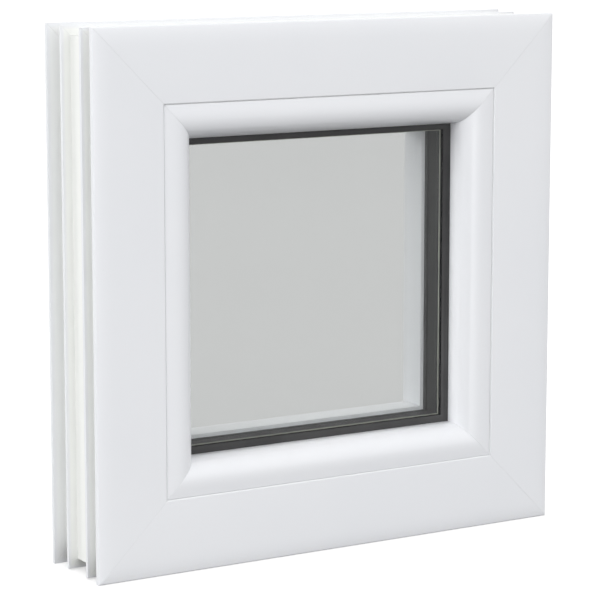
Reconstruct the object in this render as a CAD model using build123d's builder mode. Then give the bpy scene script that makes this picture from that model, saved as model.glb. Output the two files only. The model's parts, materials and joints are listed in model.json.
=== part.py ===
from build123d import *
import math
import os

# Side-hung inward-opening uPVC casement window, millimetres.
# X runs across the window, Y from the outdoor face to the room, Z up.
# The origin is the middle of the window's footprint, at the underside of the sill.
# A profile section is drawn as (depth, inset): the depth behind the outdoor face and
# the distance in from the outer edge of the frame. Every length of profile uses that pair.

# overall sizes
width = 400.0
height = 400.0
frame_depth = 76.0

# outer frame profile
frame_face = 55.7
face_edge_radius = 1.3
face_crown_depth = 1.2
face_crown_width = 13.0
lip_edge_radius = 0.4
lip_thickness = 14.0
lip_taper = 3.3
rebate_inset = 32.0
wall = 3.0
web = 2.0
flange_thickness = 5.0
fin_thickness = 2.8
front_fin_depth = 20.5
middle_fin_depth = 51.0
fin_setback = 1.0
deep_channel = 13.0
shallow_channel = 8.0

# sash profile
joint_gap = 0.6
sash_face = 26.7
rim_recess = 1.0
rim_crest_recess = 0.2
rim_crest_start = 7.0
rim_radius = 16.0
rim_lean = 1.4
rim_edge_radius = 0.35
sash_leg_depth = 20.0
seal_gap = 3.5
hidden_leg_inset = 50.0
hardware_gap = 12.0
hardware_setback = 12.0
hardware_shelf = 6.0
room_gap = 2.5
room_lip = 10.0
room_lip_inset = 26.0
room_edge_radius = 2.0
glazing_floor = 14.0
step_web = 1.0

# glazing
gasket_thickness = 3.0
gasket_show = 5.0
gasket_lip = 0.8
gasket_foot = 2.0
pane_thickness = 4.0
unit_gap = 16.0
unit_edge_clearance = 5.0
spacer_height = 7.0
spacer_wall = 1.0
block_length = 60.0
block_thickness_play = 0.5
block_from_corner = 20.0
bead_radius = 22.0
bead_reach = 10.0
bead_setback = 0.5
bead_rib = 3.0
bead_rib_thickness = 2.6
bead_play = 0.2
bead_groove_setback = 10.0

# reinforcement
steel_wall = 1.5
steel_play = 0.5
steel_end_gap = 12.0

# seals
seal_play = 0.3
joint_seal_depths = (1.0, 1.8)
joint_seal_play = 0.15
frame_seal_width = 5.0
frame_seal_rise = 2.0
frame_seal_tip = 1.0
sash_seal_width = 3.5
sash_seal_setback = 0.5

# turning hardware
axis_inset = 17.5
knuckle_radius = 6.5
knuckle_length = 22.0
pin_radius = 3.0
running_fit = 0.05
leaf_thickness = 2.5
knuckle_float = 0.5
hinge_from_end = 75.0
washer_thickness = 1.0
leaf_tail = 30.0
leaf_corner_radius = 3.0
leaf_gap = 1.0
frame_leaf_reach = 27.0
frame_leaf_screw_setback = 12.0
frame_leaf_screw_offsets = (9.0, 22.0)
frame_leaf_screw_length = 14.0
sash_leaf_end = 50.0
sash_leaf_screw_insets = (32.5, 43.5)
sash_leaf_screw_tip_gap = 1.5
knuckle_neck_half = 4.0
pin_chamfer = 0.6
washer_play = 0.1
cap_height = 2.5
cap_rim = 0.5

# locking hardware
backset = 15.5
rod_travel = 18.0
rack_pitch = 6.0
faceplate_width = 16.0
faceplate_thickness = 2.5
faceplate_play = 0.1
faceplate_corner_radius = 4.0
rod_width = 12.0
rod_thickness = 2.6
rack_window = (8.4, 3.6)
rack_windows = 4
slide_play = 0.3
slot_play = 1.0
groove_inset = 11.0
cam_pin_radius = 3.0
cam_head_height = 0.8
cam_head_lip = 0.9
roller_radius = 5.0
roller_length = 7.0
roller_standoff = 0.7
keep_from_middle = 70.0
faceplate_end = 8.0
keep_length = 28.0
keep_base = 2.0
keep_height = 9.5
keep_play = 0.4
keep_wall = 4.0
keep_front_reach = 10.0
keep_lead = 2.0
keep_lead_chamfer = 2.5
keep_screw_margin = 5.0
keep_screw_setback = 5.0
keep_screw_length = 7.0
case_length = 60.0
case_thickness = 14.0
case_reach = (9.5, 6.5)
case_play = 0.2
case_corner_radius = 2.0
hub_radius = 6.0
sector_half = 3.5
sector_start = 75.0
sector_sweep = 120.0
teeth = 4
tooth_width = 2.8
tooth_flank = 81.0
tooth_foot = 0.5
tooth_root_gap = 0.3
tooth_tip_play = 0.6
cavity_setback = 0.2
spindle_size = 7.0
spindle_reach = 24.0
spindle_chamfer = 0.4

# handle
handle_projection = 50.0
rosette_width = 30.0
rosette_length = 68.0
rosette_depth = 9.0
rosette_wall = 2.0
rosette_top = 3.0
rosette_corner_radius = 10.0
rosette_edge_radius = 4.0
rosette_play = 0.2
plate_thickness = 2.2
neck_radius = 9.5
neck_play = 0.4
neck_overlap = 2.0
lever_length = 88.0
lever_width = 20.0
lever_thickness = 12.0
lever_tip_radius = 7.6
lever_edge_radius = 4.5
lever_play = 0.5
handle_screw_spacing = 43.0
handle_screw_radius = 2.5
handle_screw_head_radius = 4.2
handle_screw_length = 30.0

# screws
fixing_radius = 3.1
fixing_spacing = 200.0
screw_radius = 2.1
screw_head_radius = 4.0
screw_recess_span = 1.2
screw_recess_width = 0.9
screw_recess_depth = 1.4

# depths that several pieces share, measured from the outdoor face
room_face = frame_depth + room_gap + room_lip
hardware_depth = frame_depth - hardware_setback
hardware_step = hardware_depth - faceplate_width / 2 - hardware_shelf
hidden_leg_depth = lip_thickness + seal_gap
glass_front = sash_leg_depth + gasket_thickness
glass_back = glass_front + 2 * pane_thickness + unit_gap
bead_front = glass_back + gasket_thickness
axis_depth = frame_depth + leaf_thickness + knuckle_float + knuckle_radius
overall_depth = room_face + handle_projection

# insets that several pieces share, measured from the outer edge of the frame
sash_start = frame_face + joint_gap
rim_edge = sash_start + sash_face
glazing_inset = rim_edge - glazing_floor
unit_inset = glazing_inset + unit_edge_clearance
sight_line = rim_edge + gasket_show
hardware_inset = rebate_inset + hardware_gap
spindle_inset = hardware_inset + backset
pitch_radius = rod_travel * 2 / math.pi
rod_inset = spindle_inset - pitch_radius - rod_thickness / 2

face_y = -overall_depth / 2
middle_z = height / 2
sides = ("sill", "head", "hinge", "lock")

os.makedirs("parts", exist_ok=True)


def side_plane(side):
    """Section plane at the middle of one outer edge: local x is depth, local y is inset."""
    origins = {
        "sill": (0, face_y, 0),
        "head": (0, face_y, height),
        "hinge": (width / 2, face_y, middle_z),
        "lock": (-width / 2, face_y, middle_z),
    }
    along = {"sill": (1, 0, 0), "head": (-1, 0, 0), "hinge": (0, 0, 1), "lock": (0, 0, -1)}
    return Plane(origin=origins[side], x_dir=(0, 1, 0), z_dir=along[side])


def side_length(side):
    return width if side in ("sill", "head") else height


def mitre_plane(side, end):
    """The 45 degree cut at one end of a side, facing the waste."""
    section = side_plane(side)
    corner = section.origin + section.z_dir * (end * side_length(side) / 2)
    return Plane(origin=corner, x_dir=(0, 1, 0), z_dir=section.z_dir * end + section.y_dir)


def mitred(section, side):
    """One length of profile, cut at 45 degrees at both ends."""
    with BuildPart() as length:
        with BuildSketch(side_plane(side)):
            add(section)
        extrude(amount=side_length(side) / 2, both=True)
        for end in (-1, 1):
            split(bisect_by=mitre_plane(side, end), keep=Keep.BOTTOM)
    return length.part


def ring(section):
    """Four mitred lengths joined at their corners."""
    lengths = [mitred(section, side) for side in sides]
    with BuildPart() as loop:
        add(lengths)
    return loop.part


def strip(depth_range, inset_range):
    """A plain rectangular section."""
    with BuildSketch() as section:
        with Locations((sum(depth_range) / 2, sum(inset_range) / 2)):
            Rectangle(depth_range[1] - depth_range[0], inset_range[1] - inset_range[0])
    return section.sketch


def corner(sketch, point):
    """The vertex of a section nearest to a point."""
    return sketch.vertices().sort_by_distance(point)[0]


def write(part, name):
    part.label = name
    export_step(part, f"parts/{name}.step")


# Places on the window: a depth and a height on the lock or hinge jamb, looking inwards.
def jamb_plane(side, inset, depth, z, outward=False):
    """Local x is depth, local z points in towards the middle of the window, or out of it."""
    inward = 1 if side == "lock" else -1
    origin = (-inward * (width / 2 - inset), face_y + depth, z)
    facing = -inward if outward else inward
    return Plane(origin=origin, x_dir=(0, 1, 0), z_dir=(facing, 0, 0))


def room_plane(x, depth, z):
    """Local x is world X, local z points into the room."""
    return Plane(origin=(x, face_y + depth, z), x_dir=(1, 0, 0), z_dir=(0, 1, 0))


# ---- outer frame profile ----
fin_back = middle_fin_depth + fin_thickness
with BuildSketch() as frame_section:
    with BuildLine():
        TangentArc((0, face_crown_width), (face_crown_depth, 0), tangent=(0, -1))
        Polyline(
            (0, face_crown_width),
            (0, frame_face),
            (lip_thickness, frame_face - lip_taper),
            (lip_thickness, rebate_inset),
            (frame_depth, rebate_inset),
            (frame_depth, 0),
            (frame_depth - wall, 0),
            (frame_depth - wall, deep_channel),
            (fin_back, deep_channel),
            (fin_back, fin_setback),
            (middle_fin_depth, fin_setback),
            (middle_fin_depth, shallow_channel),
            (front_fin_depth + fin_thickness, shallow_channel),
            (front_fin_depth + fin_thickness, fin_setback),
            (front_fin_depth, fin_setback),
            (front_fin_depth, deep_channel),
            (flange_thickness, deep_channel),
            (flange_thickness, 0),
            (face_crown_depth, 0),
        )
    make_face()
    fillet(corner(frame_section, (face_crown_depth, 0)), radius=face_edge_radius)
    fillet(corner(frame_section, (0, frame_face)), radius=lip_edge_radius)
    # front chamber, behind the face
    add(
        strip((wall, front_fin_depth), (deep_channel + wall, rebate_inset - wall)),
        mode=Mode.SUBTRACT,
    )
    # chamber inside the lip
    with BuildLine():
        Polyline(
            (wall, rebate_inset),
            (wall, frame_face - wall - web),
            (lip_thickness - wall, frame_face - lip_taper - wall),
            (lip_thickness - wall, rebate_inset),
            close=True,
        )
    make_face(mode=Mode.SUBTRACT)
    # reinforcement chamber
    add(
        strip(
            (front_fin_depth + fin_thickness, middle_fin_depth),
            (shallow_channel + wall, rebate_inset - wall),
        ),
        mode=Mode.SUBTRACT,
    )
    # room-side chamber
    add(
        strip(
            (fin_back, frame_depth - wall),
            (deep_channel + wall, rebate_inset - wall),
        ),
        mode=Mode.SUBTRACT,
    )

# ---- sash profile ----
groove_half = faceplate_width / 2 + faceplate_play
rod_half = rod_width / 2 + slide_play
bead_groove = room_face - bead_groove_setback
with BuildSketch() as sash_section:
    with BuildLine():
        Polyline(
            (rim_recess, sash_start),
            (rim_crest_recess, sash_start + rim_crest_start),
            (rim_crest_recess, rim_edge - rim_lean),
            (sash_leg_depth, rim_edge),
            (sash_leg_depth, glazing_inset),
            (room_face, glazing_inset),
            (room_face, room_lip_inset),
            (frame_depth + room_gap, room_lip_inset),
            (frame_depth + room_gap, hardware_inset),
            (hardware_step, hardware_inset),
            (hardware_step, hidden_leg_inset),
            (hidden_leg_depth, hidden_leg_inset),
            (hidden_leg_depth, sash_start),
            close=True,
        )
    make_face()
    fillet(corner(sash_section, (rim_crest_recess, rim_edge - rim_lean)), radius=rim_radius)
    fillet(corner(sash_section, (rim_recess, sash_start)), radius=rim_edge_radius)
    fillet(corner(sash_section, (room_face, room_lip_inset)), radius=room_edge_radius)
    # chamber inside the rounded rim
    with BuildLine():
        Polyline(
            (wall + rim_recess, sash_start + wall),
            (wall + rim_recess, rim_edge - rim_radius),
            (rim_radius / 2, rim_edge - rim_radius / 2),
            (sash_leg_depth - wall, rim_edge - wall - step_web),
            (sash_leg_depth - wall, sash_start + wall),
            close=True,
        )
    make_face(mode=Mode.SUBTRACT)
    # reinforcement chamber
    add(
        strip(
            (hidden_leg_depth + wall, hardware_step - step_web),
            (hidden_leg_inset + wall, glazing_inset - wall),
        ),
        mode=Mode.SUBTRACT,
    )
    # hardware groove: a ledge for the faceplate, a slot for the rod, a chamber behind it
    add(
        strip(
            (hardware_depth - groove_half, hardware_depth + groove_half),
            (hardware_inset, hardware_inset + faceplate_thickness),
        ),
        mode=Mode.SUBTRACT,
    )
    add(
        strip(
            (hardware_depth - rod_half, hardware_depth + rod_half),
            (hardware_inset, hardware_inset + groove_inset),
        ),
        mode=Mode.SUBTRACT,
    )
    add(
        strip(
            (hardware_step + web, hardware_depth + groove_half),
            (hardware_inset + groove_inset + web, glazing_inset - wall),
        ),
        mode=Mode.SUBTRACT,
    )
    # chambers at the room side
    add(
        strip(
            (frame_depth, room_face - wall),
            (hardware_inset + wall, glazing_inset - 2 * wall),
        ),
        mode=Mode.SUBTRACT,
    )
    add(
        strip(
            (frame_depth + room_gap + wall, room_face - wall),
            (room_lip_inset + wall, hardware_inset + step_web),
        ),
        mode=Mode.SUBTRACT,
    )
    # groove that the glazing beads snap into
    add(
        strip(
            (bead_groove, bead_groove + bead_rib_thickness + 2 * bead_play),
            (glazing_inset - bead_rib - bead_play, glazing_inset),
        ),
        mode=Mode.SUBTRACT,
    )

# ---- glazing bead profile ----
bead_back = room_face - bead_setback
bead_edge = rim_edge + bead_reach
with BuildSketch() as bead_chamber:
    add(strip((bead_front + web, bead_back - 2 * web), (glazing_inset + web, bead_edge - 2 * web)))
    far_corner = corner(bead_chamber, (bead_back - 2 * web, bead_edge - 2 * web))
    fillet(far_corner, radius=bead_radius - 2 * web - step_web)
with BuildSketch() as bead_section:
    with BuildLine():
        Polyline(
            (bead_front, glazing_inset),
            (bead_front, bead_edge - web),
            (bead_back, bead_edge),
            (bead_back, glazing_inset),
            close=True,
        )
    make_face()
    fillet(corner(bead_section, (bead_back, bead_edge)), radius=bead_radius)
    add(bead_chamber.sketch, mode=Mode.SUBTRACT)
    add(
        strip(
            (bead_groove + bead_play, bead_groove + bead_play + bead_rib_thickness),
            (glazing_inset - bead_rib, glazing_inset + web / 2),
        )
    )

# ---- gasket profiles ----
with BuildSketch() as outer_gasket_section:
    with BuildLine():
        Polyline(
            (sash_leg_depth, glazing_inset + gasket_foot),
            (sash_leg_depth, rim_edge),
            (glass_front - gasket_lip, sight_line),
            (glass_front, sight_line),
            (glass_front, glazing_inset + gasket_foot),
            close=True,
        )
    make_face()

frame_seal_back = hidden_leg_depth - seal_play
with BuildSketch() as frame_seal_section:
    with BuildLine():
        Polyline(
            (lip_thickness, hidden_leg_inset - frame_seal_width / 2),
            (lip_thickness, hidden_leg_inset + frame_seal_rise),
            (frame_seal_back - frame_seal_tip, hidden_leg_inset + frame_seal_rise),
            (frame_seal_back, hidden_leg_inset + frame_seal_tip),
            (frame_seal_back, hidden_leg_inset - frame_seal_tip),
            close=True,
        )
    make_face()


def lip_edge(depth):
    """Inset of the frame lip's sloping edge at a depth."""
    return frame_face - lip_taper * depth / lip_thickness


# soft tongue on the lip that closes the joint between frame and sash
seal_front, seal_back = joint_seal_depths
joint_seal_tip = sash_start - joint_seal_play
with BuildSketch() as joint_seal_section:
    with BuildLine():
        Polyline(
            (seal_front, lip_edge(seal_front)),
            (seal_front, joint_seal_tip),
            (seal_back, joint_seal_tip),
            (seal_back, lip_edge(seal_back)),
            close=True,
        )
    make_face()

# ---- frame, sash and bead lengths ----
frame_lengths = {side: mitred(frame_section.sketch, side) for side in sides}
sash_lengths = {side: mitred(sash_section.sketch, side) for side in sides}
bead_lengths = {side: mitred(bead_section.sketch, side) for side in sides}


def steel_tube(side, depth_range, inset_range):
    """Square-cut box reinforcement for one length of profile."""
    section = strip(depth_range, inset_range)
    inner = strip(
        (depth_range[0] + steel_wall, depth_range[1] - steel_wall),
        (inset_range[0] + steel_wall, inset_range[1] - steel_wall),
    )
    with BuildPart() as tube:
        with BuildSketch(side_plane(side)):
            add(section)
            add(inner, mode=Mode.SUBTRACT)
        extrude(amount=side_length(side) / 2 - inset_range[1] - steel_end_gap, both=True)
    return tube.part


frame_steel_depths = (
    front_fin_depth + fin_thickness + steel_play,
    middle_fin_depth - steel_play,
)
frame_steel_insets = (shallow_channel + wall + steel_play, rebate_inset - wall - steel_play)
sash_steel_depths = (
    hidden_leg_depth + wall + steel_play,
    hardware_step - step_web - steel_play,
)
sash_steel_insets = (
    hidden_leg_inset + wall + steel_play,
    glazing_inset - wall - steel_play,
)
fixing_depth = sum(frame_steel_depths) / 2
fixing_heights = (middle_z - fixing_spacing / 2, middle_z + fixing_spacing / 2)

# ---- turning hardware: where it sits ----
axis_x = width / 2 - axis_inset
axis_y = face_y + axis_depth
hinge_heights = {"lower": hinge_from_end, "upper": height - hinge_from_end}
frame_leaf_insets = (rebate_inset - frame_leaf_reach, room_lip_inset - leaf_gap)
frame_leaf_screw_x = width / 2 - (rebate_inset - frame_leaf_screw_setback)
frame_leaf_screw_drops = [knuckle_length + offset for offset in frame_leaf_screw_offsets]
sash_leaf_screw_length = leaf_thickness + room_lip - sash_leaf_screw_tip_gap


def frame_leaf_screws():
    """Room-facing seats of the screws in both frame leaves."""
    return [
        room_plane(frame_leaf_screw_x, frame_depth + leaf_thickness, z - drop)
        for z in hinge_heights.values()
        for drop in frame_leaf_screw_drops
    ]


def sash_leaf_screws():
    """Room-facing seats of the screws in both sash leaves."""
    return [
        room_plane(width / 2 - inset, room_face + leaf_thickness, z + knuckle_length / 2)
        for z in hinge_heights.values()
        for inset in sash_leaf_screw_insets
    ]


# ---- locking hardware: where it sits ----
spindle_x = -width / 2 + spindle_inset
keep_heights = {"lower": middle_z - keep_from_middle, "upper": middle_z + keep_from_middle}
cam_heights = [z - rod_travel for z in keep_heights.values()]
keep_screw_rise = keep_length / 2 - keep_screw_margin
keep_screw_depth = hardware_depth - keep_screw_setback
keep_depths = (
    hardware_depth - keep_front_reach,
    hardware_depth + roller_radius + keep_play + keep_wall,
)
keep_screws = [
    jamb_plane("lock", rebate_inset + keep_base, keep_screw_depth, z + rise)
    for z in keep_heights.values()
    for rise in (-keep_screw_rise, keep_screw_rise)
]
# the end screws stand midway between the last roller slot and the mitre of the groove
slot_end = keep_from_middle + rod_travel + cam_pin_radius
groove_end = height / 2 - hardware_inset - faceplate_thickness - groove_inset
end_screw_rise = (slot_end + groove_end) / 2
faceplate_reach = end_screw_rise + faceplate_end
case_screw_rise = case_length / 2 + faceplate_end
faceplate_screw_rises = (-end_screw_rise, -case_screw_rise, case_screw_rise, end_screw_rise)
faceplate_screws = [
    jamb_plane("lock", hardware_inset, hardware_depth, middle_z + rise, outward=True)
    for rise in faceplate_screw_rises
]
handle_screws = [
    room_plane(spindle_x, room_face, middle_z + rise)
    for rise in (-handle_screw_spacing / 2, handle_screw_spacing / 2)
]
case_insets = (spindle_inset - case_reach[0], spindle_inset + case_reach[1])


def block(depth_range, inset_range, z_range, side="lock", mode=Mode.ADD):
    """A plain block on a jamb, given by its depth, inset and height ranges."""
    inward = 1 if side == "lock" else -1
    centre = (
        -inward * (width / 2 - sum(inset_range) / 2),
        face_y + sum(depth_range) / 2,
        sum(z_range) / 2,
    )
    with Locations(centre):
        Box(
            inset_range[1] - inset_range[0],
            depth_range[1] - depth_range[0],
            z_range[1] - z_range[0],
            mode=mode,
        )


# ---- outer frame and its reinforcement ----
for side in sides:
    steel = steel_tube(side, frame_steel_depths, frame_steel_insets)
    if side == "hinge":
        fixings = [jamb_plane(side, 0, fixing_depth, z) for z in fixing_heights]
        with BuildPart() as drilled_steel:
            add(steel)
            with Locations(*fixings):
                Hole(fixing_radius)
        steel = drilled_steel.part
        with BuildPart() as hinge_jamb:
            add(frame_lengths[side])
            with Locations(*fixings):
                Hole(fixing_radius)
            with Locations(*frame_leaf_screws()):
                Hole(screw_radius, depth=frame_leaf_screw_length)
        frame_lengths[side] = hinge_jamb.part
    if side == "lock":
        with BuildPart() as lock_jamb:
            add(frame_lengths[side])
            with Locations(*keep_screws):
                Hole(screw_radius, depth=keep_base + wall + web)
        frame_lengths[side] = lock_jamb.part
    member = "frame_" + side + ("_jamb" if side in ("hinge", "lock") else "")
    write(frame_lengths[side], member)
    write(steel, member + "_steel")

# ---- sash and its reinforcement ----
with BuildPart() as hinge_stile:
    add(sash_lengths["hinge"])
    with Locations(*sash_leaf_screws()):
        Hole(screw_radius, depth=sash_leaf_screw_length)
sash_lengths["hinge"] = hinge_stile.part

with BuildPart() as lock_stile:
    add(sash_lengths["lock"])
    block(
        (
            hardware_depth - case_thickness / 2 - case_play,
            hardware_depth + case_thickness / 2 + case_play,
        ),
        (case_insets[0] - case_play, case_insets[1] + case_play),
        (middle_z - case_length / 2 - case_play, middle_z + case_length / 2 + case_play),
        mode=Mode.SUBTRACT,
    )
    with Locations(room_plane(spindle_x, room_face, middle_z)):
        Hole(spindle_size, depth=room_face - hardware_depth)
    with Locations(*handle_screws):
        Hole(handle_screw_radius, depth=room_face - hardware_depth)
    with Locations(*faceplate_screws):
        Hole(screw_radius, depth=faceplate_thickness + groove_inset)
sash_lengths["lock"] = lock_stile.part

for side in sides:
    member = "sash_" + side + ("_stile" if side in ("hinge", "lock") else "")
    write(sash_lengths[side], member)
    write(steel_tube(side, sash_steel_depths, sash_steel_insets), member + "_steel")
    write(bead_lengths[side], "bead_" + side)

# ---- glazing unit ----
for name, depth in (("outer", glass_front), ("inner", glass_back - pane_thickness)):
    with BuildPart() as pane:
        with BuildSketch(room_plane(0, depth, middle_z)):
            Rectangle(width - 2 * unit_inset, height - 2 * unit_inset)
        extrude(amount=pane_thickness)
    write(pane.part, f"pane_{name}")

gap_depths = (glass_front + pane_thickness, glass_back - pane_thickness)
spacer_foot = sight_line - spacer_height
with BuildSketch() as spacer_section:
    add(strip(gap_depths, (spacer_foot, sight_line)))
    add(
        strip(
            (gap_depths[0] + spacer_wall, gap_depths[1] - spacer_wall),
            (spacer_foot + spacer_wall, sight_line - spacer_wall),
        ),
        mode=Mode.SUBTRACT,
    )
write(ring(spacer_section.sketch), "spacer_bar")
write(ring(strip(gap_depths, (unit_inset, spacer_foot))), "edge_sealant")
write(ring(outer_gasket_section.sketch), "outer_glazing_gasket")
inner_gasket_section = strip((glass_back, bead_front), (unit_inset + gasket_foot, sight_line))
write(ring(inner_gasket_section), "inner_glazing_gasket")

with BuildPart() as setting_blocks:
    for side in sides:
        reach = side_length(side) / 2 - unit_inset - block_length / 2 - block_from_corner
        blocks_plane = side_plane(side)
        block_middle = ((glass_front + glass_back) / 2, (glazing_inset + unit_inset) / 2)
        with Locations(blocks_plane):
            with Locations((*block_middle, -reach), (*block_middle, reach)):
                Box(
                    glass_back - glass_front - block_thickness_play,
                    unit_edge_clearance,
                    block_length,
                )
write(setting_blocks.part, "setting_blocks")

# ---- weather seals ----
write(ring(frame_seal_section.sketch), "frame_seal")
write(ring(joint_seal_section.sketch), "joint_seal")
sash_seal_depths = (frame_depth + seal_play, frame_depth + room_gap)
sash_seal_insets = (rebate_inset - sash_seal_width, rebate_inset - sash_seal_setback)
write(ring(strip(sash_seal_depths, sash_seal_insets)), "sash_seal")


def screws(planes, radius, head_radius, length):
    """Countersunk screws with cross recesses, one on each plane, their heads flush with it."""
    recess_span = head_radius * screw_recess_span
    with BuildPart() as group:
        with Locations(*planes):
            top = (Align.CENTER, Align.CENTER, Align.MAX)
            Cylinder(radius, length, align=top)
            Cone(radius, head_radius, head_radius - radius, align=top)
            for recess in (
                (recess_span, screw_recess_width, screw_recess_depth),
                (screw_recess_width, recess_span, screw_recess_depth),
            ):
                Box(*recess, align=top, mode=Mode.SUBTRACT)
    return group.part


def countersink():
    CounterSinkHole(screw_radius, screw_head_radius, counter_sink_angle=90)


# ---- hinges ----
for name, z in hinge_heights.items():
    frame_end = z - knuckle_length
    sash_end = z + knuckle_length
    knuckle = Plane(origin=(axis_x, axis_y, z))

    with BuildPart() as frame_leaf:
        block(
            (frame_depth, frame_depth + leaf_thickness),
            frame_leaf_insets,
            (frame_end - leaf_tail, z - washer_thickness / 2),
            side="hinge",
        )
        block(
            (frame_depth, axis_depth),
            (axis_inset - knuckle_neck_half, axis_inset + knuckle_neck_half),
            (frame_end, z - washer_thickness / 2),
            side="hinge",
        )
        with Locations((axis_x, axis_y, frame_end)):
            Cylinder(
                knuckle_radius,
                knuckle_length - washer_thickness / 2,
                align=(Align.CENTER, Align.CENTER, Align.MIN),
            )
        with Locations(knuckle):
            Hole(pin_radius + running_fit)
        plate_corners = frame_leaf.edges().filter_by(Axis.Y).group_by(Axis.Z)[0]
        fillet(plate_corners, radius=leaf_corner_radius)
        seats = [
            room_plane(frame_leaf_screw_x, frame_depth + leaf_thickness, z - drop)
            for drop in frame_leaf_screw_drops
        ]
        with Locations(*seats):
            countersink()
    write(frame_leaf.part, f"{name}_hinge_frame_leaf")

    with BuildPart() as sash_leaf:
        block(
            (room_face, room_face + leaf_thickness),
            (axis_inset, sash_leaf_end),
            (z + washer_thickness / 2, sash_end),
            side="hinge",
        )
        with Locations((axis_x, axis_y, z + washer_thickness / 2)):
            Cylinder(
                knuckle_radius,
                knuckle_length - washer_thickness / 2,
                align=(Align.CENTER, Align.CENTER, Align.MIN),
            )
        with Locations(knuckle):
            Hole(pin_radius + running_fit)
        plate_corners = sash_leaf.edges().filter_by(Axis.Y).group_by(Axis.X)[0]
        fillet(plate_corners, radius=leaf_corner_radius)
        seats = [
            room_plane(width / 2 - inset, room_face + leaf_thickness, z + knuckle_length / 2)
            for inset in sash_leaf_screw_insets
        ]
        with Locations(*seats):
            countersink()
    write(sash_leaf.part, f"{name}_hinge_sash_leaf")

    with BuildPart() as pin:
        with BuildSketch(Plane.XY.offset(frame_end)):
            with Locations((axis_x, axis_y)):
                Circle(pin_radius)
        extrude(amount=2 * knuckle_length)
        chamfer(pin.edges().filter_by(GeomType.CIRCLE), length=pin_chamfer)
    write(pin.part, f"{name}_hinge_pin")

    with BuildPart() as washer:
        with BuildSketch(Plane.XY.offset(z - washer_thickness / 2)):
            with Locations((axis_x, axis_y)):
                Circle(knuckle_radius)
                Circle(pin_radius + running_fit, mode=Mode.SUBTRACT)
        extrude(amount=washer_thickness - washer_play)
    write(washer.part, f"{name}_hinge_washer")

write(
    screws(frame_leaf_screws(), screw_radius, screw_head_radius, frame_leaf_screw_length),
    "hinge_frame_screws",
)
write(
    screws(sash_leaf_screws(), screw_radius, screw_head_radius, sash_leaf_screw_length),
    "hinge_sash_screws",
)


def hinge_caps(heights, direction):
    """Domed caps that close the outer ends of the knuckles."""
    with BuildPart() as caps:
        for z in heights:
            end = Plane(origin=(axis_x, axis_y, z), z_dir=(0, 0, direction))
            with BuildSketch(end):
                Circle(knuckle_radius)
            extrude(amount=cap_height)
        rims = caps.edges().filter_by(GeomType.CIRCLE)
        fillet(
            [rim for rim in rims if all(abs(rim.center().Z - z) > cap_rim for z in heights)],
            radius=cap_height - cap_rim,
        )
    return caps.part


write(
    hinge_caps([z - knuckle_length for z in hinge_heights.values()], -1),
    "hinge_frame_caps",
)
write(hinge_caps([z + knuckle_length for z in hinge_heights.values()], 1), "hinge_sash_caps")

# ---- keeps on the lock jamb ----
for name, z in keep_heights.items():
    with BuildPart() as keep:
        block(
            keep_depths,
            (rebate_inset, rebate_inset + keep_base),
            (z - keep_length / 2, z + keep_length / 2),
        )
        block(
            (keep_depths[1] - keep_wall, keep_depths[1]),
            (rebate_inset, rebate_inset + keep_height),
            (z - keep_length / 2 + keep_lead, z + keep_length / 2),
        )
        lead_in = keep.edges().filter_by(Axis.X).group_by(Axis.Z)[1].sort_by(Axis.Y)[-2:]
        chamfer(lead_in[0], length=keep_lead_chamfer)
        mine = [plane for plane in keep_screws if abs(plane.origin.Z - z) < keep_length]
        with Locations(*mine):
            countersink()
    write(keep.part, f"{name}_keep")

write(screws(keep_screws, screw_radius, screw_head_radius, keep_screw_length), "keep_screws")

# ---- espagnolette on the lock stile ----
with BuildPart() as faceplate:
    block(
        (hardware_depth - faceplate_width / 2, hardware_depth + faceplate_width / 2),
        (hardware_inset, hardware_inset + faceplate_thickness),
        (middle_z - faceplate_reach, middle_z + faceplate_reach),
    )
    fillet(faceplate.edges().filter_by(Axis.X), radius=faceplate_corner_radius)
    slots = [
        jamb_plane("lock", hardware_inset, hardware_depth, z + rod_travel / 2)
        for z in cam_heights
    ]
    for slot in slots:
        with BuildSketch(slot):
            SlotCenterToCenter(rod_travel, 2 * cam_pin_radius + slot_play, rotation=90)
        extrude(amount=faceplate_thickness, mode=Mode.SUBTRACT)
    with Locations(*faceplate_screws):
        countersink()
write(faceplate.part, "espagnolette_faceplate")
write(
    screws(
        faceplate_screws, screw_radius, screw_head_radius, faceplate_thickness + groove_inset
    ),
    "faceplate_screws",
)

# the rod runs on past its end pins, halfway to the end screws of the faceplate
rod_overrun = (end_screw_rise - keep_from_middle - rod_travel) / 2
rod_ends = (cam_heights[0] - rod_overrun, cam_heights[1] + rod_overrun)
rack_middle = middle_z - rod_travel / 2
with BuildPart() as drive_rod:
    block(
        (hardware_depth - rod_width / 2, hardware_depth + rod_width / 2),
        (rod_inset, rod_inset + rod_thickness),
        rod_ends,
    )
    with Locations(jamb_plane("lock", rod_inset, hardware_depth, rack_middle)):
        with GridLocations(1, rack_pitch, 1, rack_windows):
            Box(*rack_window, 4 * rod_thickness, mode=Mode.SUBTRACT)
    with Locations(*[jamb_plane("lock", rod_inset, hardware_depth, z) for z in cam_heights]):
        Hole(cam_pin_radius)
    # long slots that clear the middle faceplate screws while the rod slides
    for rise in faceplate_screw_rises[1:3]:
        slot_middle = middle_z + rise - rod_travel / 2
        with BuildSketch(jamb_plane("lock", rod_inset, hardware_depth, slot_middle)):
            SlotCenterToCenter(rod_travel, 2 * screw_radius + slot_play, rotation=90)
        extrude(amount=rod_thickness, mode=Mode.SUBTRACT)
write(drive_rod.part, "drive_rod")

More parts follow.
